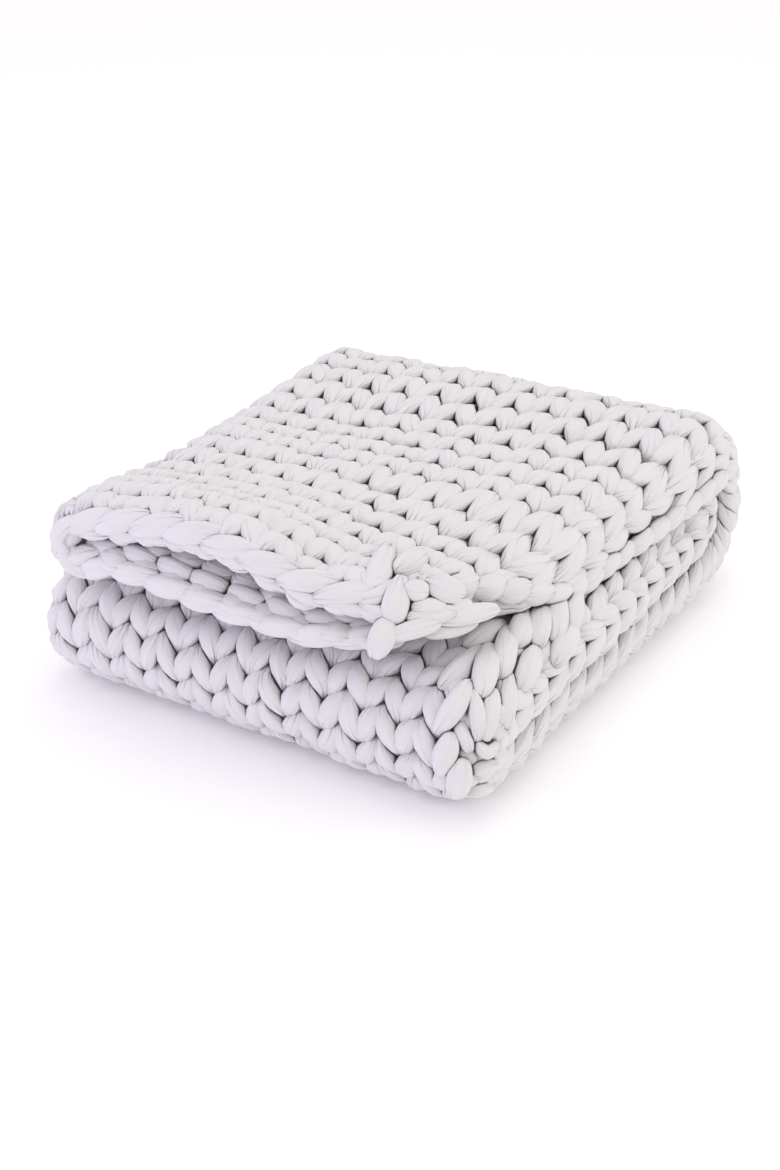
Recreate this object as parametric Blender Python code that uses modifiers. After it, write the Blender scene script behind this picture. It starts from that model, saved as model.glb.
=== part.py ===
"""A hand-knit weighted blanket of fat cotton tube yarn, folded lengthwise in half and then in three.

Metres, +Z up. X runs along the hems, and the two hems of the top flap face -Y. The origin is the middle of
the box that the folded blanket fills, on the surface that it lies on.

The blanket is one piece of knitting, so it is one solid: a middle surface that goes back and forth through
every layer, with Solidify for the thickness of the knitting. Folded in half, it is a strip of two layers,
the upper one with its knit side out. The strip starts at the flap's hems, runs over the top to the back,
round the back fold and along the floor, up round the front fold, and ends inside, under the flap.
"""

import bpy
import numpy as np

# The cloth.
CLOTH = 0.0320          # thickness of the knitting
LAYER_GAP = 0.0010      # between the two layers of the strip
TURN_GAP = 0.0015       # between one run of the strip and the next

# The folded bundle.
WIDTH = 0.530           # along X, at the front fold
DEPTH = 0.628           # along Y
HEM_SET_BACK = 0.006    # the flap's hems lie this far behind the front of the front fold
FOLLOW = 0.50           # how far the flap sinks with the round of the front fold, 0 to 1
SINK_WIDTH = 0.8        # it sinks up to this share of the half width on the right
CORNER_BACK = 0.024     # the flap's right corner is drawn back by this, within 0.11 m of the hems
CORNER_RUN = 0.110

# What follows from them.
LAYER = (CLOTH + LAYER_GAP) / 2             # from the middle of the strip to the middle of either layer
STRIP = 2 * CLOTH + LAYER_GAP               # thickness of the strip
FRONT_TURN = (STRIP + TURN_GAP) / 2         # radius of the front fold, at the middle of the strip
BACK_TURN = STRIP + TURN_GAP                # radius of the back fold, which takes the whole height
FRONT_Z = STRIP + TURN_GAP / 2              # height of the front fold's axis
BACK_Z = STRIP / 2 + BACK_TURN              # height of the back fold's axis
FRONT_Y = -DEPTH / 2 + FRONT_TURN + STRIP / 2
BACK_Y = DEPTH / 2 - BACK_TURN - STRIP / 2
HEM_Y = -DEPTH / 2 + HEM_SET_BACK
INNER_Y = BACK_Y + 0.35 * (BACK_TURN - STRIP / 2)    # the hidden hems reach into the back fold's hollow
REST = STRIP + TURN_GAP + CLOTH / 2         # radius at which the flap's lower layer lies on the front fold
SIDE = WIDTH / 2

# The upper layer's selvedge curls down over the lower one's.
CURL = CLOTH + LAYER_GAP                    # radius of the curl
TAIL = CLOTH / 2 - LAYER_GAP                # the curl's straight end
UNDER_END = 0.4 * CLOTH                     # the lower layer ends this far under the curl

# The strip's course, a row for each place where it changes. Its middle lies at the axis plus the radius
# along (sin turn, cos turn). Left and right are the sides of the bundle, curl is the selvedge's turn in
# degrees, and the lifts say how far the upper layer stands up at its left, middle and right, and the lower
# layer at its right. Steps are the mesh's steps from the row before.
COURSE = np.array(
    [
        # axis y,  axis z,  radius,     turn,      left,   right, curl, lifts: left, middle, right, under, steps
        (HEM_Y,    BACK_Z,  BACK_TURN,  0,         -0.243, 0.174, 15,   0.024, 0.032, 0.016, 0.007, 0),
        (-0.060,   BACK_Z,  BACK_TURN,  0,         -0.243, 0.232, 86,   0.006, 0.012, 0.006, 0.000, 9),
        (BACK_Y,   BACK_Z,  BACK_TURN,  0,         -0.268, 0.258, 90,   0.000, 0.008, 0.020, 0.000, 6),
        (BACK_Y,   BACK_Z,  BACK_TURN,  np.pi,     -0.254, SIDE,  90,   0.000, 0.000, 0.000, 0.000, 11),
        (FRONT_Y,  FRONT_Z, FRONT_TURN, np.pi,     -SIDE,  0.260, 90,   0.000, 0.000, 0.000, 0.000, 7),
        (FRONT_Y,  FRONT_Z, FRONT_TURN, 2 * np.pi, -SIDE,  SIDE,  90,   0.000, 0.000, 0.000, 0.000, 11),
        (INNER_Y,  FRONT_Z, FRONT_TURN, 2 * np.pi, -0.254, SIDE,  90,   0.000, 0.000, 0.000, 0.000, 7),
    ]
)
AXIS_Y, AXIS_Z, RADIUS, TURN, LEFT, RIGHT, CURL_TURN = COURSE.T[:7]
LIFT_LEFT, LIFT_MIDDLE, LIFT_RIGHT, LIFT_UNDER, STEPS = COURSE.T[7:]

# The parts across the strip, from the upper layer's selvedge to the lower layer's, and the mesh's steps.
TAIL_END, CURL_END, TOP_END, FOLD_END = 0.015, 0.055, 0.500, 0.555
ACROSS_STEPS = ((0.0, TAIL_END, 3), (TAIL_END, CURL_END, 4), (CURL_END, TOP_END, 10),
                (TOP_END, FOLD_END, 7), (FOLD_END, 0.985, 7), (0.985, 1.0, 3))
EDGE_STEPS = (0.003, 0.009)                 # extra steps next to the hems, where the thickness rounds off

COTTON = (0.80, 0.79, 0.83, 1.0)            # colour and roughness of the jersey
COTTON_ROUGHNESS = 0.9


def ease(x):
    """Smooth step from 0 to 1."""
    x = np.clip(x, 0, 1)
    return x * x * (3 - 2 * x)


def lengths():
    """Length of the upper layer from the flap's hem to each row of COURSE: flat runs plus arcs."""
    run = np.abs(np.diff(AXIS_Y)) + np.diff(TURN) * (RADIUS[1:] + LAYER)
    return np.concatenate([[0], np.cumsum(run)])


ALONG = lengths()


def between(along, column):
    """A column of COURSE at a length along the strip, eased from row to row."""
    row = np.clip(np.searchsorted(ALONG, along, side="right") - 1, 0, len(ALONG) - 2)
    part = ease((along - ALONG[row]) / (ALONG[row + 1] - ALONG[row]))
    return column[row] + (column[row + 1] - column[row]) * part


def profile(across, along):
    """The strip's section: the selvedge's tail and curl, the upper layer, a half-round fold and the lower
    layer. Gives x and the offset from the middle of the strip, positive on the upper layer's side."""
    lift_left, lift_right = between(along, LIFT_LEFT), between(along, LIFT_RIGHT)
    lift_under = between(along, LIFT_UNDER)
    curl = np.radians(between(along, CURL_TURN))
    bend = LAYER + lift_left / 2
    fold_x = between(along, LEFT) + CLOTH / 2 + bend
    curl_x = between(along, RIGHT) - (CURL + CLOTH / 2) * np.sin(curl) - TAIL * np.cos(curl)

    tail = 1 - np.clip(across / TAIL_END, 0, 1)
    arc = 1 - np.clip((across - TAIL_END) / (CURL_END - TAIL_END), 0, 1)
    top = np.clip((across - CURL_END) / (TOP_END - CURL_END), 0, 1)
    fold = np.clip((across - TOP_END) / (FOLD_END - TOP_END), 0, 1) * np.pi
    under = np.clip((across - FOLD_END) / (1 - FOLD_END), 0, 1)

    top_x = curl_x + (fold_x - curl_x) * top + CURL * np.sin(arc * curl) + TAIL * tail * np.cos(curl)
    top_offset = LAYER + lift_left * top**2 + between(along, LIFT_MIDDLE) * 4 * top * (1 - top)
    top_offset += lift_right * (1 - top) ** 4 - CURL * (1 - np.cos(arc * curl)) - TAIL * tail * np.sin(curl)
    under_x = fold_x - bend * np.sin(fold) + (curl_x + UNDER_END - fold_x) * under
    under_offset = lift_left / 2 + bend * np.cos(fold) + lift_under * under**4
    upper = across < TOP_END
    return np.where(upper, top_x, under_x), np.where(upper, top_offset, under_offset)


def middle_surface(across, along):
    """The middle of the knitting: the section set out from the strip's course, the flap's right corner drawn
    back and the flap's front sunk along the round of the front fold."""
    turn = np.interp(along, ALONG, TURN)
    x, offset = profile(across, along)
    reach = np.interp(along, ALONG, RADIUS) + offset
    y = np.interp(along, ALONG, AXIS_Y) + reach * np.sin(turn)
    z = np.interp(along, ALONG, AXIS_Z) + reach * np.cos(turn)
    y = y + CORNER_BACK * ease(1 - along / CORNER_RUN) * ease((x / SIDE - 0.2) / 0.45)
    over = np.where(turn < np.pi / 2, np.clip((FRONT_Y - y) / REST, 0, 1), 0)
    sink = FOLLOW * ease(SINK_WIDTH - x / SIDE) * REST * (1 - np.sqrt(1 - over**2))
    return np.stack([x, y, z - sink], axis=-1)


def steps_across():
    """The mesh's lines across the strip."""
    runs = [np.linspace(start, end, count, endpoint=False) for start, end, count in ACROSS_STEPS]
    return np.concatenate([*runs, [1.0]])


def steps_along():
    """The mesh's lines along the strip, closer together next to both hems."""
    runs = [np.linspace(ALONG[k], ALONG[k + 1], int(STEPS[k + 1]), endpoint=False) for k in range(len(ALONG) - 1)]
    ends = [(edge, ALONG[-1] - edge) for edge in EDGE_STEPS]
    return np.sort(np.concatenate([*runs, [ALONG[-1]], np.ravel(ends)]))


def fullness(points, along):
    """Share of the thickness at each point: it rounds off like a half circle at the hems and selvedges."""
    run = np.cumsum(np.linalg.norm(np.diff(points, axis=0, prepend=points[:1]), axis=-1), axis=0)
    edge = np.minimum(np.minimum(run, run[-1] - run), np.minimum(along, ALONG[-1] - along))
    inward = 1 - np.clip(2 * edge / CLOTH, 0, 1)
    return np.sqrt(np.clip(1 - inward**2, 0.15, 1))


def knit_cloth():
    """The whole blanket: the middle surface as a grid, then Solidify with the fullness as its group."""
    across, along = np.meshgrid(steps_across(), steps_along(), indexing="ij")
    points = middle_surface(across, along)
    grid = np.arange(across.size).reshape(across.shape)
    faces = np.stack([grid[:-1, :-1], grid[:-1, 1:], grid[1:, 1:], grid[1:, :-1]], axis=-1).reshape(-1, 4)
    mesh = bpy.data.meshes.new("blanket")
    mesh.from_pydata(points.reshape(-1, 3).tolist(), [], faces.tolist())
    mesh.shade_smooth()
    blanket = bpy.data.objects.new("blanket", mesh)
    group = blanket.vertex_groups.new(name="fullness")
    for index, share in enumerate(fullness(points, along).ravel()):
        group.add([index], float(share), "REPLACE")
    thick = blanket.modifiers.new("thickness", "SOLIDIFY")
    thick.thickness = CLOTH
    thick.offset = 0
    thick.vertex_group = group.name
    return blanket


def jersey():
    """Matt cotton jersey."""
    material = bpy.data.materials.new("cotton_jersey")
    material.use_nodes = True
    shader = material.node_tree.nodes["Principled BSDF"]
    shader.inputs["Base Color"].default_value = COTTON
    shader.inputs["Roughness"].default_value = COTTON_ROUGHNESS
    shader.inputs["Metallic"].default_value = 0.0
    return material


def settle(blanket):
    """Moves the mesh so that the middle of its box is at the origin and its underside at z = 0."""
    bpy.context.view_layer.update()
    solid = blanket.evaluated_get(bpy.context.evaluated_depsgraph_get()).data
    corners = np.empty(3 * len(solid.vertices))
    solid.vertices.foreach_get("co", corners)
    low, high = corners.reshape(-1, 3).min(axis=0), corners.reshape(-1, 3).max(axis=0)
    points = np.empty(3 * len(blanket.data.vertices))
    blanket.data.vertices.foreach_get("co", points)
    moved = points.reshape(-1, 3) - [(low[0] + high[0]) / 2, (low[1] + high[1]) / 2, low[2]]
    blanket.data.vertices.foreach_set("co", moved.ravel())
    blanket.data.update()


for thing in list(bpy.data.objects):
    bpy.data.objects.remove(thing)
collection = bpy.data.collections.new("knit_blanket")
bpy.context.scene.collection.children.link(collection)
blanket = knit_cloth()
blanket.data.materials.append(jersey())
collection.objects.link(blanket)
settle(blanket)
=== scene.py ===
"""A folded weighted blanket, hand-knit from fat cotton-jersey tube yarn."""

import bpy
import numpy as np
from mathutils import Matrix, Vector


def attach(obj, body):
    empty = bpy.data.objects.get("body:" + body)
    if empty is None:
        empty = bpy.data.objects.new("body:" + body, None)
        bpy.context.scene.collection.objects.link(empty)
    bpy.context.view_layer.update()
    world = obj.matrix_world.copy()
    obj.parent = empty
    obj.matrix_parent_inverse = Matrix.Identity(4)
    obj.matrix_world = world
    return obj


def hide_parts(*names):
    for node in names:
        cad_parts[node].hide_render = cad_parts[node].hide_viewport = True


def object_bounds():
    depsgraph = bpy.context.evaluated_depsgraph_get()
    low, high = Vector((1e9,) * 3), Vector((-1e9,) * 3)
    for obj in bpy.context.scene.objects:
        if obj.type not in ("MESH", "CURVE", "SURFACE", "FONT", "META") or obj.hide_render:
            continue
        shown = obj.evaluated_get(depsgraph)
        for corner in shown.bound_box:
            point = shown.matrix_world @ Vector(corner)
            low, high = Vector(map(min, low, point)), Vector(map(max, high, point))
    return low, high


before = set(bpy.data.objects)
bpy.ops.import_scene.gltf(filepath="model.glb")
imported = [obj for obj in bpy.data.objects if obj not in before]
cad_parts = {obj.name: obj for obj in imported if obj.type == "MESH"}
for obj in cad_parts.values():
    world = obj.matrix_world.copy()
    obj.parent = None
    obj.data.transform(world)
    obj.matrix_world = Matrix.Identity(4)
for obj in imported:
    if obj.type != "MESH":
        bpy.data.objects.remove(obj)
cad_box = [list(corner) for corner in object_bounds()]

# ---------------------------------------------------------------------------------------------------------
# The camera: it stands on a tripod in front of the blanket's right corner and looks down on it. Its lens is
# given by its focal length in pixels of a frame with this long side.
FOCAL_PX, LONG_SIDE_PX, SENSOR, CLIP_END = 1910.3, 1170, 36.0, 50
CAMERA_AZIMUTH, CAMERA_PITCH = np.radians(31.90), np.radians(28.41)
CAMERA_PLACE = (0.9557, -1.5820, 1.0442)

level = np.cos(CAMERA_PITCH)
back = np.array([np.sin(CAMERA_AZIMUTH) * level, -np.cos(CAMERA_AZIMUTH) * level, np.sin(CAMERA_PITCH)])
right = np.array([np.cos(CAMERA_AZIMUTH), np.sin(CAMERA_AZIMUTH), 0.0])
up = np.cross(back, right)
camera = bpy.data.objects.new("camera", bpy.data.cameras.new("camera"))
camera.data.sensor_width = SENSOR
camera.data.lens = FOCAL_PX * SENSOR / LONG_SIDE_PX
camera.data.clip_end = CLIP_END
turn_to_scene = np.eye(4)
turn_to_scene[:3] = np.column_stack([right, up, back, CAMERA_PLACE])
camera.matrix_world = Matrix(turn_to_scene.tolist())
bpy.context.scene.collection.objects.link(camera)
bpy.context.scene.camera = camera

# ---------------------------------------------------------------------------------------------------------
# The cloth as it lies: one sheet of knitting, folded in half lengthwise and then in three, with the two hems
# of the top flap in front. Sizes in metres, as the solid has them. COURSE has a row for each place where
# the folded strip changes its way.
CLOTH, LAYER_GAP, TURN_GAP = 0.0320, 0.0010, 0.0015
WIDTH, DEPTH, HEM_SET_BACK, FOLLOW, SINK_WIDTH = 0.530, 0.628, 0.006, 0.50, 0.8
CORNER_BACK, CORNER_RUN, CORNER_FROM, CORNER_SPAN = 0.024, 0.110, 0.2, 0.45
LAYER, STRIP = (CLOTH + LAYER_GAP) / 2, 2 * CLOTH + LAYER_GAP
FRONT_TURN, BACK_TURN = (STRIP + TURN_GAP) / 2, STRIP + TURN_GAP
FRONT_Z, BACK_Z = STRIP + TURN_GAP / 2, STRIP / 2 + BACK_TURN
FRONT_Y = -DEPTH / 2 + FRONT_TURN + STRIP / 2
BACK_Y = DEPTH / 2 - BACK_TURN - STRIP / 2
HEM_Y = -DEPTH / 2 + HEM_SET_BACK
INNER_REACH = 0.35              # how far the inside end goes into the back turn
INNER_Y = BACK_Y + INNER_REACH * (BACK_TURN - STRIP / 2)
REST, SIDE = STRIP + TURN_GAP + CLOTH / 2, WIDTH / 2
CURL, TAIL, UNDER_END = CLOTH + LAYER_GAP, CLOTH / 2 - LAYER_GAP, 0.4 * CLOTH
COURSE = np.array(
    [
        # axis y,  axis z,  radius,     turn,      left,   right, curl, lifts: left, middle, right, under
        (HEM_Y,    BACK_Z,  BACK_TURN,  0,         -0.243, 0.174, 15,   0.024, 0.032, 0.016, 0.007),
        (-0.060,   BACK_Z,  BACK_TURN,  0,         -0.243, 0.232, 86,   0.006, 0.012, 0.006, 0.000),
        (BACK_Y,   BACK_Z,  BACK_TURN,  0,         -0.268, 0.258, 90,   0.000, 0.008, 0.020, 0.000),
        (BACK_Y,   BACK_Z,  BACK_TURN,  np.pi,     -0.254, SIDE,  90,   0.000, 0.000, 0.000, 0.000),
        (FRONT_Y,  FRONT_Z, FRONT_TURN, np.pi,     -SIDE,  0.260, 90,   0.000, 0.000, 0.000, 0.000),
        (FRONT_Y,  FRONT_Z, FRONT_TURN, 2 * np.pi, -SIDE,  SIDE,  90,   0.000, 0.000, 0.000, 0.000),
        (INNER_Y,  FRONT_Z, FRONT_TURN, 2 * np.pi, -0.254, SIDE,  90,   0.000, 0.000, 0.000, 0.000),
    ]
)
AXIS_Y, AXIS_Z, RADIUS, TURN, LEFT, RIGHT, CURL_TURN = COURSE.T[:7]
LIFT_LEFT, LIFT_MIDDLE, LIFT_RIGHT, LIFT_UNDER = COURSE.T[7:]
# Where the section's parts end, in shares of the sheet's width.
TAIL_END, CURL_END, TOP_END, FOLD_END = 0.015, 0.055, 0.500, 0.555
# The lower layer's hem stands off the pack and swells behind its edge.
HEM_RISE, HEM_RISE_FOLD, HEM_RISE_RUN, UNDER_RAMP = 0.034, 0.018, 0.150, 0.12
BARREL_RISE, BARREL_RUN, BARREL_ROUND = 0.019, 0.130, 1.5
# The flap's right edge hangs on the layer below, and its hem waves.
SELVEDGE_HANG, HANG_FROM, HANG_TO, HANG_RAMP = 0.017, 0.10, 0.62, 0.14
WAVE_AT = (0.0, 0.08, 0.14, 0.19, 0.25, 0.31, 0.36, 0.43, 0.50)
WAVE = (0.0, 0.001, -0.005, 0.004, 0.016, 0.015, 0.011, 0.006, 0.004)
ALONG = np.concatenate([[0], np.cumsum(np.abs(np.diff(AXIS_Y)) + np.diff(TURN) * (RADIUS[1:] + LAYER))])


def ease(x):
    """A smooth step from 0 to 1: x squared, times three less two x."""
    x = np.clip(x, 0, 1)
    return x * x * (3 - 2 * x)


def between(along, column):
    """A column of COURSE at a length along the strip, eased from row to row."""
    row = np.clip(np.searchsorted(ALONG, along, side="right") - 1, 0, len(ALONG) - 2)
    part = ease((along - ALONG[row]) / (ALONG[row + 1] - ALONG[row]))
    return column[row] + (column[row + 1] - column[row]) * part


def tail_length(along):
    """The length of the selvedge's flat tail: longer where it hangs, eased in and out."""
    hang = SELVEDGE_HANG * ease((along - HANG_FROM) / HANG_RAMP)
    return TAIL + hang * ease((HANG_TO - along) / HANG_RAMP)


def profile(across, along):
    """The folded strip's section: a flat selvedge tail, a curl on an arc, the upper layer, a half-round fold
    and the lower layer. Gives x and the offset from the strip's middle: the layer's own, plus a square rise
    to the left, a parabola in the middle and a steep rise to the right."""
    lift_left, lift_right = between(along, LIFT_LEFT), between(along, LIFT_RIGHT)
    curl = np.radians(between(along, CURL_TURN))
    loose = 1 - ease(along / HEM_RISE_RUN)
    fold_rise = HEM_RISE_FOLD * loose
    bend = LAYER + (lift_left - fold_rise) / 2
    fold_x = between(along, LEFT) + CLOTH / 2 + bend
    curl_x = between(along, RIGHT) - (CURL + CLOTH / 2) * np.sin(curl) - TAIL * np.cos(curl)
    tail = 1 - np.clip(across / TAIL_END, 0, 1)
    arc = 1 - np.clip((across - TAIL_END) / (CURL_END - TAIL_END), 0, 1)
    top = np.clip((across - CURL_END) / (TOP_END - CURL_END), 0, 1)
    fold = np.clip((across - TOP_END) / (FOLD_END - TOP_END), 0, 1) * np.pi
    under = np.clip((across - FOLD_END) / (1 - FOLD_END), 0, 1)
    tail = tail * tail_length(along) / TAIL
    top_x = curl_x + (fold_x - curl_x) * top + CURL * np.sin(arc * curl) + TAIL * tail * np.cos(curl)
    top_offset = LAYER + lift_left * top**2 + between(along, LIFT_MIDDLE) * 4 * top * (1 - top)
    top_offset += loose * np.interp(across, WAVE_AT, WAVE)
    top_offset += lift_right * (1 - top) ** 4 - CURL * (1 - np.cos(arc * curl)) - TAIL * tail * np.sin(curl)
    under_x = fold_x - bend * np.sin(fold) + (curl_x + UNDER_END - fold_x) * under
    under_rise = HEM_RISE * loose * np.cos(under * np.pi / 2) - fold_rise
    under_offset = (lift_left + fold_rise) / 2 + bend * np.cos(fold) + between(along, LIFT_UNDER) * under**4
    swell = BARREL_RISE * np.sin(np.pi * np.clip(along / BARREL_RUN, 0, 1)) ** BARREL_ROUND
    under_offset += (under_rise + swell) * ease(under / UNDER_RAMP)
    upper = across < TOP_END
    return np.where(upper, top_x, under_x), np.where(upper, top_offset, under_offset)


def middle_surface(across, along):
    """The middle of the knitting: the section set out from the strip's course, the flap's right corner drawn
    back and the flap's front sunk along the round of the front fold."""
    turn = np.interp(along, ALONG, TURN)
    x, offset = profile(across, along)
    reach = np.interp(along, ALONG, RADIUS) + offset
    y = np.interp(along, ALONG, AXIS_Y) + reach * np.sin(turn)
    z = np.interp(along, ALONG, AXIS_Z) + reach * np.cos(turn)
    y = y + CORNER_BACK * ease(1 - along / CORNER_RUN) * ease((x / SIDE - CORNER_FROM) / CORNER_SPAN)
    over = np.where(turn < np.pi / 2, np.clip((FRONT_Y - y) / REST, 0, 1), 0)
    sink = FOLLOW * ease(SINK_WIDTH - x / SIDE) * REST * (1 - np.sqrt(1 - over**2))
    return np.stack([x, y, z - sink], axis=-1)


def unit(vectors):
    """Vectors scaled to length 1."""
    return vectors / np.linalg.norm(vectors, axis=-1, keepdims=True)


SLOPE_STEP = 0.0005


def facing(across, along):
    """The cloth's outward direction on its knit side: the cross product of its two slopes."""
    low, high = np.clip(across - SLOPE_STEP, 0, 1), np.clip(across + SLOPE_STEP, 0, 1)
    start, end = np.clip(along - SLOPE_STEP, 0, ALONG[-1]), np.clip(along + SLOPE_STEP, 0, ALONG[-1])
    over = middle_surface(high, along) - middle_surface(low, along)
    onward = middle_surface(across, end) - middle_surface(across, start)
    return unit(np.cross(onward, over))


# The sheet is shifted by what its skin is off from the solid's box.
skin_across, skin_along = np.meshgrid(np.linspace(0, 1, 401), np.linspace(0, ALONG[-1], 801), indexing="ij")
skin = middle_surface(skin_across, skin_along) + facing(skin_across, skin_along) * CLOTH / 2
SHIFT = np.array([(cad_box[1][0] + cad_box[0][0] - skin[..., 0].max() - skin[..., 0].min()) / 2,
                  cad_box[1][1] - skin[..., 1].max(), cad_box[0][2] - skin[..., 2].min()])


def on_cloth(across, along, height):
    """Points at a height over the cloth's middle, positive on the knit side, and the cloth's direction
    there: the middle surface plus the height times that direction."""
    normal = facing(across, along)
    return middle_surface(across, along) + SHIFT + normal * height[..., None], normal


# ---------------------------------------------------------------------------------------------------------
# The knitting's lattice: plain stockinette in wales and courses, evenly spaced on the cloth's outer face.
# On the flap the rows lie as the hands left them: pulled longer and shorter, tilted, and drifting in wale.
COURSE_PITCH, WALE_PITCH = 0.0376, 0.0431
FIRST_WALE = 0.36               # the selvedge's place, in wales
ROW_ALONG = [0, 0.028, 0.060, 0.084, 0.120, 0.156, 0.202, 0.244, 0.268, 0.296, 0.332, 0.376, 0.430, 0.484]
ROW_TILT, TILT_WALE, TILT_WALES, TILT_MOST = 0.038, 10.5, 5, 1.2      # left of this wale, over this many
TILT_FROM, TILT_IN, TILT_TO, TILT_OUT = 0.20, 0.10, 0.60, 0.50        # along the strip, in metres
DRIFT_HEM, DRIFT_SPREAD, DRIFT_WALE, DRIFT_WALES = 0.034, 0.014, 12.5, 7
UPPER_END, UPPER_FADE = 0.62, 0.10      # the upper layer's share of the sheet's width, with the fold

OUTER_ALONG = np.abs(np.diff(AXIS_Y)) + np.diff(TURN) * (RADIUS[1:] + LAYER + CLOTH / 2)
OUTER_ALONG = np.concatenate([[0], np.cumsum(OUTER_ALONG)])
ACROSS_BREAKS = np.array([0, TAIL_END, CURL_END, TOP_END, FOLD_END, 1.0])
HALF_WIDTH = 0.4485             # of each layer, between the curl and the fold
SECTION = [0, TAIL, (CURL + CLOTH / 2) * np.pi / 2, HALF_WIDTH, np.pi * (LAYER + CLOTH / 2), HALF_WIDTH]
ACROSS_OUTER = np.cumsum(SECTION)
ROW_COURSE = np.concatenate([[-0.5], np.arange(len(ROW_ALONG) - 1) + 0.75])
COURSES = int(ROW_COURSE[-1] + (OUTER_ALONG[-1] - ROW_ALONG[-1]) / COURSE_PITCH)
WALES = int(FIRST_WALE + ACROSS_OUTER[-1] / WALE_PITCH)


def curl_length(along):
    """The length of the curl on the cloth's outer face: it opens out towards the hem."""
    return (CURL + CLOTH / 2) * np.radians(between(along, CURL_TURN))


def drift(wale, along):
    """How far the wales have run over to the right, more towards the hem."""
    at_hem = DRIFT_HEM + DRIFT_SPREAD * (DRIFT_WALE - wale) / DRIFT_WALES
    return at_hem * np.clip(1 - along / ALONG[2], 0, 1)


def lay(wale, course):
    """Where a place in the knitting lies on the cloth: its distances along and across the outer face are
    looked up in the section. The drift and the open curl take whole stitches off the flap's right edge, so
    that the others keep their size."""
    last_course = ROW_COURSE[-1] + (OUTER_ALONG[-1] - ROW_ALONG[-1]) / COURSE_PITCH
    outer = np.interp(course, np.append(ROW_COURSE, last_course), np.append(ROW_ALONG, OUTER_ALONG[-1]))
    along = np.interp(outer, OUTER_ALONG, ALONG)
    from_edge = (wale - FIRST_WALE) * WALE_PITCH
    upper = ease((UPPER_END - np.interp(from_edge, ACROSS_OUTER, ACROSS_BREAKS)) / UPPER_FADE)
    from_edge = from_edge - drift(wale, along) * upper
    short, curl = ACROSS_OUTER[2] - from_edge, curl_length(along)
    curled = CURL_END - (CURL_END - TAIL_END) * np.clip(short / curl, 0, 1)
    curled = curled - TAIL_END * np.clip((short - curl) / tail_length(along), 0, 1)
    across = np.where(short > 0, curled, np.interp(from_edge, ACROSS_OUTER, ACROSS_BREAKS))
    tilt = ROW_TILT * ease((along - TILT_FROM) / TILT_IN) * (1 - ease((along - TILT_TO) / TILT_OUT))
    tilt = tilt * np.clip((TILT_WALE - wale) / TILT_WALES, 0, TILT_MOST)
    return across, along + tilt * upper


# Every hand-made loop differs a little: its place, its height and its yarn's fullness.
rng = np.random.default_rng(20)
PLACE_UNEVEN, HEIGHT_UNEVEN, FULL_UNEVEN = 0.050, 0.0016, 0.055
loop_unevenness = rng.normal(size=(4, COURSES + 2, WALES + 2))


def uneven(kind, wale, course):
    """A random value for every loop, eased from loop to loop. The kinds are the loop's place in wales and in
    courses, its height and its fullness."""
    row = np.clip(course, 0, COURSES)
    column = np.clip(wale, 0, WALES)
    row_below, column_left = row.astype(int), column.astype(int)
    up, over = ease(row - row_below), ease(column - column_left)
    table = loop_unevenness[kind]
    near = table[row_below, column_left] * (1 - over) + table[row_below, column_left + 1] * over
    far = table[row_below + 1, column_left] * (1 - over) + table[row_below + 1, column_left + 1] * over
    return near * (1 - up) + far * up


# ---------------------------------------------------------------------------------------------------------
# The yarn: a soft tube of cotton jersey, filled, about 23 mm wide and 17 mm thick where nothing squeezes
# it, with creases that run along it and gather where other yarn pinches it.
YARN_WIDE, YARN_THICK, YARN_FLAT = 0.0234, 0.0166, 0.75
LOBE_TWO, LOBE_THREE, WANDER_TWO, WANDER_THREE = 0.040, 0.045, 31, -43    # shares, and radians for each metre
FLOOR_CLEAR = 0.0005


class Wire:
    """A shader node's output with arithmetic: each operator adds a Math node."""

    def __init__(self, tree, socket=None):
        self.tree, self.socket = tree, socket

    def node(self, kind, settings, inputs, output=0):
        node = self.tree.nodes.new(kind)
        for key, value in settings.items():
            setattr(node, key, value)
        for key, value in inputs.items():
            if isinstance(value, Wire):
                self.tree.links.new(value.socket, node.inputs[key])
            else:
                node.inputs[key].default_value = value
        return Wire(self.tree, node.outputs[output])

    def math(self, operation, one, other=0.0):
        return self.node("ShaderNodeMath", {"operation": operation}, {0: one, 1: other})

    def __add__(self, other):
        return self.math("ADD", self, other)

    def __sub__(self, other):
        return self.math("SUBTRACT", self, other)

    def __rsub__(self, other):
        return self.math("SUBTRACT", other, self)

    def __mul__(self, other):
        return self.math("MULTIPLY", self, other)

    __radd__, __rmul__ = __add__, __mul__


# The yarn's own colour, and the dark colour of the painted shade mixed into it in creases, next to where
# yarns touch and in the recesses between loops.
JERSEY_LIGHT, JERSEY_PAINTED_SHADE = (0.735, 0.718, 0.733, 1), (0.08, 0.07, 0.085, 1)
CREASES_LONG, CREASES_ROUND, CREASE_DEEP = 13.0, 1.1, 0.0016      # per metre of yarn, round it, in metres
# how thin a crease is, its strength where the yarn lies loose and more where it is pinched, and the painted
# shade in it
CREASE_THIN, CREASE_LOOSE, CREASE_PINCHED, CREASE_PAINTED_SHADE = 9, 0.14, 0.86, 0.15
GRAIN_LONG, GRAIN_ROUND, GRAIN_DEEP = 60.0, 5.0, 0.0003
CRACK_REACH, CRACK_OPEN, CRACK_DARK = 0.0045, 0.66, 4.0           # shade this near to where two yarns touch
DEEP_FROM, DEEP_SPAN, DEEP_DARK = 0.28, 0.45, 0.8                 # and in the recesses between them
CREASE_SHIFT = 7.3              # each length of yarn takes its creases from this much further on

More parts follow.
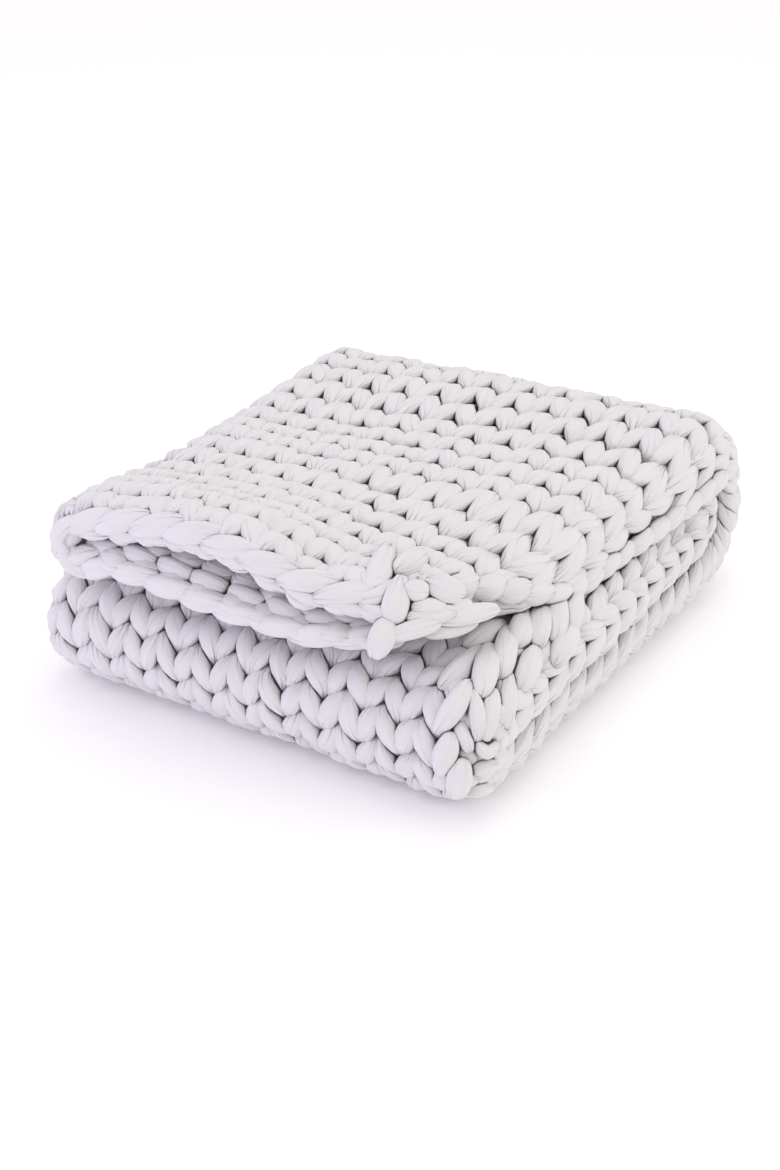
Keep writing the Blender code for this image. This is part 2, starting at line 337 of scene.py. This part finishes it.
jersey = bpy.data.materials.new("cotton_jersey")
jersey.use_nodes = True
principled = jersey.node_tree.nodes["Principled BSDF"]
principled.inputs["Roughness"].default_value = 0.92
principled.inputs["Sheen Weight"].default_value = 0.15
principled.inputs["Sheen Roughness"].default_value = 0.6
wire = Wire(jersey.node_tree)
place = wire.node("ShaderNodeUVMap", {"uv_map": "along_yarn"}, {})
u = wire.node("ShaderNodeSeparateXYZ", {}, {0: place}, 0)
turn = wire.node("ShaderNodeSeparateXYZ", {}, {0: place}, 1) * (2 * np.pi)
pinch = wire.node("ShaderNodeAttribute", {"attribute_name": "pinch"}, {}, 2)
round_x, round_y = wire.math("COSINE", turn), wire.math("SINE", turn)


def streaks(along, around, detail):
    """Noise drawn out along the yarn: it goes round on a circle, so that it has no seam."""
    point = wire.node("ShaderNodeCombineXYZ", {}, {0: u * along, 1: round_x * around, 2: round_y * around})
    return wire.node("ShaderNodeTexNoise", {}, {"Vector": point, "Scale": 1.0, "Detail": detail})


# The creases: noise drawn out along the yarn, used for the bump and as painted shade, stronger where the yarn
# is pinched.
fold = 1 - wire.math("ABSOLUTE", streaks(CREASES_LONG, CREASES_ROUND, 1.0) * 2 - 1) * CREASE_THIN
fold = wire.math("MAXIMUM", fold, 0.0) * (CREASE_LOOSE + pinch * CREASE_PINCHED)
# Painted shade in the recesses between loops, set on each tube as an attribute.
recess_shade = wire.node("ShaderNodeAttribute", {"attribute_name": "recess_shade"}, {}, 2)
height = streaks(GRAIN_LONG, GRAIN_ROUND, 3.0) * GRAIN_DEEP - fold * CREASE_DEEP
# Painted shade next to where two yarns touch, found by ambient occlusion over a short reach.
open_sky = wire.node("ShaderNodeAmbientOcclusion", {"samples": 6}, {"Distance": CRACK_REACH}, 1)
crack_shade = wire.math("MAXIMUM", (CRACK_OPEN - open_sky) * CRACK_DARK, 0.0)
# All the painted shade, of creases, contacts and recesses, darkens the yarn's colour towards the dark one.
shade = wire.math("MINIMUM", recess_shade * DEEP_DARK + crack_shade + fold * CREASE_PAINTED_SHADE, 1.0)
colour_with_painted_shade = wire.node("ShaderNodeMix", {"data_type": "RGBA"}, {0: shade, 6: JERSEY_LIGHT, 7: JERSEY_PAINTED_SHADE}, 2)
bump = wire.node("ShaderNodeBump", {}, {"Strength": 1.0, "Distance": 1.0, "Height": height})
jersey.node_tree.links.new(colour_with_painted_shade.socket, principled.inputs["Base Color"])
jersey.node_tree.links.new(bump.socket, principled.inputs["Normal"])


def yarn_rings(centre, normal, wide, thick, sides):
    """Rings round a yarn's centre line, square to it. A point is a flattened power of sine and cosine, wide
    to the side and thick to the face, times two and three soft lobes that wander round as the yarn goes on.
    Also how far each point lies out from the centre line."""
    onward = unit(np.gradient(centre, axis=-2))
    sideways = unit(np.cross(onward, normal))
    outward = np.cross(sideways, onward)
    around = 2 * np.pi * np.arange(sides) / sides
    steps = np.linalg.norm(np.diff(centre, axis=-2, prepend=centre[..., :1, :]), axis=-1)
    run = np.cumsum(steps, axis=-1)[..., None]
    start = rng.uniform(0, 2 * np.pi, (2, *run.shape[:-2], 1, 1))
    lobes = LOBE_TWO * np.sin(2 * around + start[0] + WANDER_TWO * run)
    lobes = 1 + lobes + LOBE_THREE * np.sin(3 * around + start[1] + WANDER_THREE * run)
    side, face = (np.sign(x) * np.abs(x) ** YARN_FLAT for x in (np.sin(around), np.cos(around)))
    ring = (wide[..., None] / 2 * side * lobes)[..., None] * sideways[..., None, :]
    ring = ring - (thick[..., None] / 2 * face * lobes)[..., None] * outward[..., None, :]
    return centre[..., None, :] + ring, (ring * normal[..., None, :]).sum(axis=-1)


def yarn_mesh(name, rings, pinched, depth):
    """A closed tube for each row of rings: quads between neighbouring rings, and a fan to a point in the
    middle of each end. The UV map runs along the yarn and once round it, pinch says how much the yarn is
    squeezed, and a second attribute how much painted shade a point gets, from how deep it lies between the
    yarns."""
    tubes, count, sides = rings.shape[:3]
    body = np.arange(tubes * count * sides).reshape(tubes, count, sides)
    nxt = np.roll(body, -1, axis=2)
    quads = np.stack([body[:, :-1], nxt[:, :-1], nxt[:, 1:], body[:, 1:]], axis=-1).reshape(-1, 4)
    ends = rings[:, [0, -1]].mean(axis=2)
    tips = tubes * count * sides + np.arange(2 * tubes).reshape(tubes, 2)
    first = np.stack([nxt[:, 0], body[:, 0], np.broadcast_to(tips[:, :1], body[:, 0].shape)], axis=-1)
    last = np.stack([body[:, -1], nxt[:, -1], np.broadcast_to(tips[:, 1:], body[:, 0].shape)], axis=-1)
    fans = np.concatenate([first.reshape(-1, 3), last.reshape(-1, 3)])
    points = np.concatenate([rings.reshape(-1, 3), ends.reshape(-1, 3)])
    points[:, 2] = np.maximum(points[:, 2], FLOOR_CLEAR)
    mesh = bpy.data.meshes.new(name)
    mesh.vertices.add(len(points))
    mesh.vertices.foreach_set("co", points.ravel())
    mesh.loops.add(quads.size + fans.size)
    mesh.loops.foreach_set("vertex_index", np.concatenate([quads.ravel(), fans.ravel()]))
    mesh.polygons.add(len(quads) + len(fans))
    starts = np.concatenate([np.arange(len(quads)) * 4, quads.size + np.arange(len(fans)) * 3])
    mesh.polygons.foreach_set("loop_start", starts)
    mesh.update()
    mesh.validate()

    middle = rings.mean(axis=2)
    run = np.cumsum(np.linalg.norm(np.diff(middle, axis=1, prepend=middle[:, :1]), axis=-1), axis=1)
    run = run + np.arange(tubes)[:, None] * CREASE_SHIFT
    u = np.broadcast_to(run[..., None], body.shape)
    v = np.broadcast_to(np.arange(sides) / sides, body.shape)
    v_next = v + 1 / sides
    quad_u = np.stack([u[:, :-1], u[:, :-1], u[:, 1:], u[:, 1:]], axis=-1)
    quad_v = np.stack([v[:, :-1], v_next[:, :-1], v_next[:, 1:], v[:, 1:]], axis=-1)
    fan_u = np.concatenate([np.repeat(u[:, end].reshape(-1, 1), 3, axis=1) for end in (0, -1)])
    fan_v = np.concatenate([np.repeat(v[:, end].reshape(-1, 1), 3, axis=1) for end in (0, -1)])
    uv = np.stack([np.concatenate([quad_u.ravel(), fan_u.ravel()]),
                   np.concatenate([quad_v.ravel(), fan_v.ravel()])], axis=-1)
    mesh.uv_layers.new(name="along_yarn").data.foreach_set("uv", uv.ravel())
    pinch = np.broadcast_to(pinched[..., None], body.shape).ravel()
    pinch = np.concatenate([pinch, np.ones(2 * tubes)])
    mesh.attributes.new("pinch", "FLOAT", "POINT").data.foreach_set("value", pinch)
    # Painted shade in the recesses: none out on the cloth's faces, more the deeper a point lies, and full on
    # the end caps.
    recess_shade = np.concatenate([ease((depth - DEEP_FROM) / DEEP_SPAN).ravel(), np.ones(2 * tubes)])
    mesh.attributes.new("recess_shade", "FLOAT", "POINT").data.foreach_set("value", recess_shade)
    mesh.materials.append(jersey)
    mesh.shade_smooth()
    piece = bpy.data.objects.new(name, mesh)
    bpy.context.scene.collection.objects.link(piece)
    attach(piece, "root")
    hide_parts("blanket")


# ---------------------------------------------------------------------------------------------------------
# The courses: one yarn for each, its loops drawn through the course before it. A loop's legs lie out on the
# knit side, its foot and head behind its neighbours. The face that shows has more rings than the hidden one.
LOOP_REACH = 1.00               # half a loop's height, in courses
LOOP_SWING = 0.300              # how far a leg swings to its wale's middle, in wales
LOOP_LEAN = 0.10                # how far a loop leans over, in wales for each course
LOOP_DEPTH = 0.0080             # legs lie this far out from the cloth's middle, heads as far in
HEM_SHADE, SIDE_SHADE = 1.4, 1.2        # the shade between loops fades this near to the hem and the edge


def on_lattice(wale, course, height):
    """Points at a height over a place in the knitting, and the cloth's direction there."""
    return on_cloth(*lay(wale, course), height)


def loops(courses, turns, place=on_lattice):
    """The yarn's centre, the cloth's direction there, the height over the cloth's middle and how far inside
    the hem it is. A loop rises and falls by a cosine, and sways and dips by a sine and a cosine of twice the
    turn, which gives it a narrow foot and a wide head."""
    phase = 2 * np.pi * turns
    course = courses - LOOP_REACH * np.cos(phase)
    wale = turns + LOOP_SWING * np.sin(2 * phase) + LOOP_LEAN * (course - courses)
    height = -LOOP_DEPTH * np.cos(2 * phase) + HEIGHT_UNEVEN * uneven(2, wale, course)
    wale_off, course_off = uneven(0, wale, course), uneven(1, wale, course)
    centre, normal = place(wale + PLACE_UNEVEN * wale_off, course + PLACE_UNEVEN * course_off, height)
    return centre, normal, height, ease(course / HEM_SHADE)


def squeezed(turns):
    """How much the yarn is squeezed: a cosine with four waves a loop, most where it passes between others,
    and none in legs and heads."""
    return 0.5 - 0.5 * np.cos(8 * np.pi * turns)


SIDES = 12
LEG_FULL, PASS_THIN = 1.08, 0.44        # the yarn's size in a leg, and what it loses where it's squeezed
CHAIN_ROOM = 0.016              # the flap's right edge is left free for its chain
FIRST_TURN, OUTER_TURNS, LAST_TURN = 0.40, 13.6, WALES + 0.6
TAKE_UP, TAKE_UP_WALE = 8.0, 2.5        # the wales that make up for what the edge is short of
BANDS = (
    # first and last course, rings for a loop on the outer half and on the inner half, how wide its yarn lies
    (0, 3, 26, 22, 1.04),
    (3, 15, 26, 12, 1.04),
    (15, 24, 24, 12, 0.96),
    (24, 34, 14, 12, 0.94),
    (34, 42, 26, 12, 0.94),
    (42, COURSES, 16, 12, 0.94),
)
for start, end, outer_rings, inner_rings, spread in BANDS:
    outer = np.arange(FIRST_TURN, OUTER_TURNS, 1 / outer_rings)
    turns = np.concatenate([outer, np.arange(OUTER_TURNS, LAST_TURN, 1 / inner_rings)])[None, :]
    courses = np.arange(start, end)[:, None] + 0.5
    row_along = np.interp(courses, ROW_COURSE, ROW_ALONG)
    missing = ACROSS_OUTER[2] - tail_length(row_along) - curl_length(row_along)
    missing = missing + drift(TAKE_UP_WALE, row_along) + CHAIN_ROOM
    missing = missing / WALE_PITCH * (courses < ROW_COURSE[-1])
    turns = turns + missing * np.clip(1 - (turns - FIRST_TURN) / TAKE_UP, 0, 1)
    centre, normal, height, inside = loops(courses, turns)
    pinched = squeezed(turns)
    size = (LEG_FULL - PASS_THIN * pinched) * (1 + FULL_UNEVEN * uneven(3, turns, courses + 0 * turns))
    rings, out = yarn_rings(centre, normal, YARN_WIDE * spread * size, YARN_THICK * np.sqrt(size), SIDES)
    inside = inside * ease((turns - turns[:, :1]) / SIDE_SHADE)
    # How deep each point lies in the cloth, less near the hem and the edge: it sets the painted shade in the
    # recesses.
    depth = inside[..., None] * (1 - np.abs(height[..., None] + out) / (CLOTH / 2))
    yarn_mesh(f"courses_{start}_{end}", rings, pinched, depth)

# ---------------------------------------------------------------------------------------------------------
# The braids: the chains of the cast-on edge and the selvedge, a link for every wale or row, with the slack
# loops below them and the barrels of the purl side behind. Each link is a leaf of yarn that slants from the
# knit side to the edge and lies over its neighbour's end.
LINK_RINGS, LINK_SIDES = 22, 14
LINK_TIP, LINK_BODY = 0.16, 0.84        # a link's fullness at its ends, and what its middle has more
LINK_DEEP, LINK_ROUND = 0.2, 0.4        # the shade on a link's middle line, and how it falls off outward
LINK_UNEVEN, PATH_STEPS = 0.0015, 1200


def links(starts, ends, outward, bulge, wide, thick, taper=0.75):
    """Leaves of yarn: straight from point to point plus a half sine outward, full in the middle and pinched
    at both ends by a power of that half sine."""
    part = np.linspace(0, 1, LINK_RINGS)[None, :, None]
    bow = np.sin(np.pi * part)
    centre = starts[:, None] + (ends - starts)[:, None] * part + outward[:, None] * bulge * bow
    fullness = LINK_TIP + LINK_BODY * bow[..., 0] ** taper
    fullness = np.broadcast_to(fullness, centre.shape[:2])
    normal = np.broadcast_to(outward[:, None], centre.shape)
    rings, out = yarn_rings(centre, normal, wide * fullness, thick * fullness, LINK_SIDES)
    # The third value sets the painted shade: most on the link's middle line.
    return rings, 1 - fullness, LINK_DEEP - LINK_ROUND * out / np.max(thick)


def braid(name, path, pitch, tail, tip, face, length, bulge, wide, thick, taper=0.75):
    """Links at a pitch along a path of places (across, along) that has the cloth on its left. Tail and tip
    give how far each end of a link lies into the cloth and out on its knit side, and face the way that the
    link bulges. A link's ends lie half its length before and after its middle."""
    stops = np.linspace(0, len(path) - 1, PATH_STEPS)
    across, along = (np.interp(stops, np.arange(len(path)), column) for column in np.transpose(path))
    edge, normal = on_cloth(across, along, 0 * along)
    onward = unit(np.gradient(edge, axis=0))
    into = unit(np.cross(onward, normal))
    run = np.concatenate([[0], np.cumsum(np.linalg.norm(np.diff(edge, axis=0), axis=1))])
    middle = np.arange(pitch / 2, run[-1], pitch)
    middle = middle + rng.normal(size=middle.shape) * LINK_UNEVEN

    def path_at(where):
        """The path's place and its directions at a length along it."""
        return [np.stack([np.interp(where, run, column) for column in rows.T], axis=-1)
                for rows in (edge, into, normal, onward)]

    ends = []
    for offset, (inward, out) in ((-length / 2, tail), (length / 2, tip)):
        where = np.clip(middle + offset, 0, run[-1])
        point, inside, over, ahead = path_at(where)
        ends.append(point + inside * inward + over * out + ahead * (middle + offset - where)[:, None])
    point, inside, over, ahead = path_at(middle)
    outward = unit(inside * face[0] + over * face[1])
    yarn_mesh(name, *links(ends[0], ends[1], outward, bulge, wide, thick, taper))


# The flap's braid runs along its right edge, round the corner and along its hem to the fold on the left. The
# lower layer's goes on from there, along its own hem and back along its right edge.
FLAP_SIDE = ((0.002, 0.56), (0.003, 0.25), (0.010, 0.15), (0.012, 0.02))
FLAP_HEM = ((0.012, 0.03), (0.020, 0.008), (0.060, 0.0), (0.300, 0.0), (0.575, 0.0))
LOWER_HEM = ((0.575, 0.0), (0.800, 0.0), (0.965, 0.0), (0.990, 0.020), (0.990, 0.160))
SIDE_PITCH = 0.032
braid("flap_side_links", FLAP_SIDE, SIDE_PITCH, tail=(0.008, 0.013), tip=(-0.002, 0.008), face=(-1, 1.2),
      length=0.044, bulge=0.003, wide=0.024, thick=0.020, taper=0.5)
braid("flap_hem_links", FLAP_HEM, WALE_PITCH, tail=(0.014, 0.007), tip=(-0.004, 0.001), face=(-1, 1.2),
      length=0.068, bulge=0.003, wide=0.024, thick=0.0185, taper=0.6)
braid("flap_underlinks", FLAP_HEM, WALE_PITCH, tail=(-0.003, -0.007), tip=(-0.003, 0), face=(-1, -1),
      length=0.052, bulge=0.002, wide=0.015, thick=0.014)
braid("lower_hem_links", LOWER_HEM, WALE_PITCH, tail=(-0.006, 0.001), tip=(0, -0.007), face=(-1, -0.6),
      length=0.066, bulge=0.003, wide=0.0225, thick=0.0185, taper=0.6)
braid("lower_barrels", LOWER_HEM[:3], WALE_PITCH, tail=(0.014, -0.006), tip=(0.012, -0.006), face=(-0.5, -1),
      length=0.042, bulge=0.002, wide=0.022, thick=0.020, taper=0.25)

# ---------------------------------------------------------------------------------------------------------
# Loose ends, of the same yarn: the braid bunches into a knob at the flap's right corner and wraps round the
# fold at the left, and the selvedge's straps close the front fold's right end. Each leaf is listed one by
# one, its ends tucked into the knitting.
CORNER_FACE, LEAF_TAPER = (0.46, -0.75, 0.48), 0.45
CORNER_LEAVES = (
    # from, to, the way it bulges, bulge, width, thickness
    ((0.108, -0.224, 0.220), (0.132, -0.292, 0.199), CORNER_FACE, 0.014, 0.0260, 0.016),
    ((0.141, -0.210, 0.214), (0.139, -0.262, 0.218), CORNER_FACE, 0.003, 0.0230, 0.016),
    ((0.147, -0.261, 0.216), (0.154, -0.295, 0.174), CORNER_FACE, 0.014, 0.0250, 0.018),
    ((0.169, -0.258, 0.216), (0.194, -0.230, 0.194), CORNER_FACE, 0.010, 0.0260, 0.018),
    ((0.158, -0.275, 0.212), (0.176, -0.263, 0.209), CORNER_FACE, 0.004, 0.0200, 0.016),
    ((0.160, -0.275, 0.198), (0.185, -0.244, 0.184), CORNER_FACE, 0.008, 0.0180, 0.016),
    ((0.168, -0.282, 0.198), (0.190, -0.254, 0.194), CORNER_FACE, 0.002, 0.0170, 0.016),
    ((0.166, -0.289, 0.190), (0.198, -0.248, 0.188), CORNER_FACE, 0.001, 0.0190, 0.017),
    ((0.184, -0.262, 0.190), (0.203, -0.228, 0.187), CORNER_FACE, -0.002, 0.0180, 0.017),
    ((0.154, -0.295, 0.190), (0.150, -0.316, 0.157), CORNER_FACE, 0.008, 0.0240, 0.017),
    ((0.158, -0.309, 0.178), (0.192, -0.266, 0.184), CORNER_FACE, 0.001, 0.0190, 0.017),
    ((0.186, -0.265, 0.182), (0.216, -0.200, 0.173), CORNER_FACE, 0.003, 0.0200, 0.018),
    ((0.177, -0.272, 0.169), (0.204, -0.219, 0.166), CORNER_FACE, 0.003, 0.0190, 0.017),
)
WRAP_LEAVES = (
    ((-0.190, -0.314, 0.209), (-0.200, -0.318, 0.163), (-1.0, -0.15, 0.0), 0.020, 0.0220, 0.021),
    ((-0.222, -0.314, 0.182), (-0.172, -0.320, 0.154), (-0.4, -0.30, -0.8), 0.010, 0.0220, 0.020),
)
FRONT_END_LEAVES = (
    ((0.206, -0.198, 0.130), (0.240, -0.278, 0.122), CORNER_FACE, 0.013, 0.0250, 0.020),
    ((0.204, -0.158, 0.129), (0.239, -0.238, 0.122), CORNER_FACE, 0.014, 0.0250, 0.020),
    ((0.204, -0.120, 0.130), (0.228, -0.190, 0.128), CORNER_FACE, 0.010, 0.0260, 0.021),
    ((0.216, -0.112, 0.136), (0.240, -0.168, 0.120), CORNER_FACE, 0.008, 0.0240, 0.020),
    ((0.222, -0.088, 0.138), (0.247, -0.144, 0.116), CORNER_FACE, 0.008, 0.0240, 0.020),
    ((0.228, -0.064, 0.136), (0.250, -0.120, 0.114), CORNER_FACE, 0.008, 0.0240, 0.020),
    ((0.196, -0.150, 0.128), (0.188, -0.216, 0.127), CORNER_FACE, 0.011, 0.0250, 0.020),
    ((0.202, -0.202, 0.127), (0.200, -0.282, 0.122), CORNER_FACE, 0.010, 0.0240, 0.020),
    ((0.246, -0.100, 0.118), (0.259, -0.166, 0.106), CORNER_FACE, 0.006, 0.0240, 0.020),
    ((0.240, -0.168, 0.122), (0.252, -0.226, 0.106), CORNER_FACE, 0.012, 0.0240, 0.020),
    ((0.224, -0.267, 0.131), (0.213, -0.309, 0.093), CORNER_FACE, 0.016, 0.0220, 0.018),
    ((0.225, -0.273, 0.128), (0.249, -0.297, 0.089), (0.75, -0.50, 0.44), 0.011, 0.0160, 0.016),
    ((0.227, -0.297, 0.107), (0.248, -0.306, 0.082), CORNER_FACE, 0.002, 0.0150, 0.015),
    ((0.228, -0.306, 0.099), (0.224, -0.320, 0.058), CORNER_FACE, 0.008, 0.0230, 0.018),
    ((0.240, -0.253, 0.121), (0.254, -0.292, 0.088), CORNER_FACE, 0.012, 0.0210, 0.017),
    ((0.249, -0.298, 0.091), (0.264, -0.284, 0.088), (0.37, -0.60, -0.71), 0.010, 0.0130, 0.013),
    ((0.239, -0.220, 0.121), (0.264, -0.269, 0.093), CORNER_FACE, 0.009, 0.0170, 0.015),
    ((0.243, -0.311, 0.078), (0.233, -0.306, 0.028), CORNER_FACE, 0.012, 0.0230, 0.018),
    ((0.238, -0.298, 0.031), (0.253, -0.270, 0.027), CORNER_FACE, 0.011, 0.0130, 0.013),
    ((0.247, -0.304, 0.061), (0.263, -0.283, 0.062), CORNER_FACE, 0.006, 0.0140, 0.014),
)


def placed_leaves(name, leaves):
    """Leaves of yarn at their own places, each with its own bulge, width and thickness."""
    starts, ends, ways = (np.array([leaf[part] for leaf in leaves]) for part in range(3))
    bulge, wide, thick = (np.array([leaf[part] for leaf in leaves])[:, None] for part in range(3, 6))
    yarn_mesh(name, *links(starts, ends, unit(ways), bulge[..., None], wide, thick, LEAF_TAPER))


placed_leaves("corner_knob", CORNER_LEAVES)
placed_leaves("left_wrap", WRAP_LEAVES)
placed_leaves("front_end_straps", FRONT_END_LEAVES)

# ---------------------------------------------------------------------------------------------------------
# The back fold's right end: the same knitting closes it with a domed patch of a few loops, its wales running
# back. No loop goes further from the fold's axis than END_LIMIT.
END_COURSES, END_WALES, END_TURN, END_RINGS = 4, 4, 0.4, 26
END_X, END_DOME, END_REACH, END_LIMIT = 0.243, 0.016, 0.050, 0.080


def on_end(wale, course, height):
    """Points at a height over the patch: a paraboloid round the fold's axis, that faces right."""
    y, z = (course - END_COURSES / 2) * COURSE_PITCH, (wale - END_WALES / 2) * WALE_PITCH
    inward = np.minimum(END_LIMIT / np.maximum(np.hypot(y, z), END_LIMIT / 2), 1)
    y, z = y * inward, z * inward
    x = END_X - END_DOME * (y**2 + z**2) / END_REACH**2
    middle = np.stack([x, BACK_Y + SHIFT[1] + y, BACK_Z + z], axis=-1)
    slope = 2 * END_DOME / END_REACH**2
    normal = unit(np.stack([np.ones_like(y), slope * y, slope * z], axis=-1))
    return middle + normal * height[..., None], normal


turns = np.arange(END_TURN, END_WALES - END_TURN, 1 / END_RINGS)[None, :]
courses = np.arange(END_COURSES)[:, None] + 0.5
centre, normal, height = loops(courses, turns, on_end)[:3]
size = LEG_FULL - PASS_THIN * squeezed(turns) + 0 * courses
rings, out = yarn_rings(centre, normal, YARN_WIDE * size, YARN_THICK * np.sqrt(size), SIDES)
pinched = np.broadcast_to(squeezed(turns), size.shape)
# Its depth in the cloth sets the painted shade in the recesses.
yarn_mesh("back_end_courses", rings, pinched, 1 - np.abs(height[..., None] + out) / (CLOTH / 2))

# ---------------------------------------------------------------------------------------------------------
# The studio: a seamless matt white floor, white light from all round, a large soft box overhead, a faint
# warm one at the right and a violet one at the front left.
FLOOR = 6.0                     # half its side
floor_mesh = bpy.data.meshes.new("floor")
corners = [(-FLOOR, -FLOOR, 0), (FLOOR, -FLOOR, 0), (FLOOR, FLOOR, 0), (-FLOOR, FLOOR, 0)]
floor_mesh.from_pydata(corners, [], [(0, 1, 2, 3)])
floor = bpy.data.objects.new("floor", floor_mesh)
bpy.context.scene.collection.objects.link(floor)
white = bpy.data.materials.new("floor_white")
white.use_nodes = True
matt = white.node_tree.nodes["Principled BSDF"]
matt.inputs["Base Color"].default_value = (0.97, 0.965, 0.98, 1)
matt.inputs["Emission Color"].default_value = (1.0, 1.0, 1.0, 1)
matt.inputs["Emission Strength"].default_value = 0.09
matt.inputs["Roughness"].default_value = 1.0
floor_mesh.materials.append(white)


MIDDLE = Vector((0, 0, 0.1))


def soft_light(name, place, size, power, colour):
    """A square soft box at a place, turned to the blanket's middle."""
    lamp = bpy.data.lights.new(name, "AREA")
    lamp.shape, lamp.size, lamp.energy, lamp.color = "SQUARE", size, power, colour
    box = bpy.data.objects.new(name, lamp)
    box.location = place
    box.rotation_mode = "QUATERNION"
    box.rotation_quaternion = (MIDDLE - Vector(place)).to_track_quat("-Z", "Y")
    bpy.context.scene.collection.objects.link(box)


soft_light("soft_box_top", (0.0, 0.4, 3.0), size=2.0, power=14, colour=(0.88, 0.94, 1.0))
soft_light("soft_box_right", (2.0, 0.3, 1.2), size=1.4, power=5.2, colour=(1.0, 0.93, 0.92))
soft_light("soft_box_left", (-1.2, -2.0, 0.5), size=1.6, power=12.5, colour=(0.52, 0.48, 1.0))
world = bpy.data.worlds.new("studio")
bpy.context.scene.world = world
world.use_nodes = True
world.node_tree.nodes["Background"].inputs["Color"].default_value = (0.985, 0.955, 0.935, 1)
world.node_tree.nodes["Background"].inputs["Strength"].default_value = 0.92
bpy.context.scene.view_settings.view_transform = "Standard"
